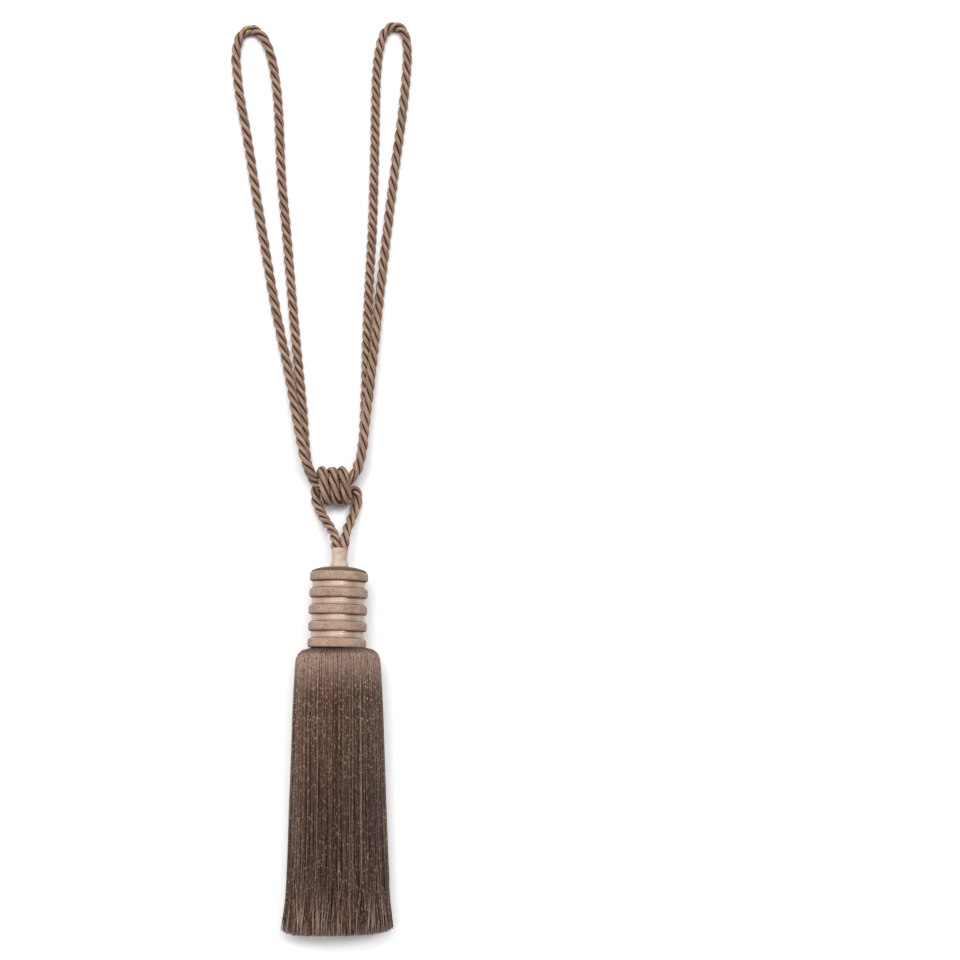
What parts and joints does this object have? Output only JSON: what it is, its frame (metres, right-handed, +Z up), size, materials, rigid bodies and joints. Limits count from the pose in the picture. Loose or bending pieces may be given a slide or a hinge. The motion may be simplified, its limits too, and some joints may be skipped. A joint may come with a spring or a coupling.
{
  "type": "curtain tieback with a tassel",
  "caption": "Curtain tieback lying flat: a twisted rope ring knotted into two long loops over a turned head with satin bands and a full thread tassel.",
  "frame": {"origin": "on the surface that the tieback lies on, under the middle of the tassel's box (head, neck and skirt, without the ropes)", "axes": "+Z up from the surface; +Y along the tassel from its skirt to its neck and on to the rope loops; +X to the right seen from above with the loops away"},
  "size_m": [0.1342, 0.6659, 0.0459],
  "materials": {
    "rope_yarn": "silky twisted rayon yarn, taupe rose",
    "neck_thread": "wound matt thread, pale beige",
    "mould_cloth": "matt felted cloth over a turned mould, warm taupe",
    "satin_band": "shiny satin ribbon, light beige rose",
    "skirt_yarn": "silky fine rayon thread, dark taupe brown"
  },
  "bodies": {
    "root": {"loop_rope": "rope_yarn", "tassel_cord": "rope_yarn", "neck": "neck_thread", "head": "mould_cloth", "band_1": "satin_band", "band_2": "satin_band", "band_3": "satin_band", "band_4": "satin_band", "skirt": "skirt_yarn"}
  },
  "joints": []
}
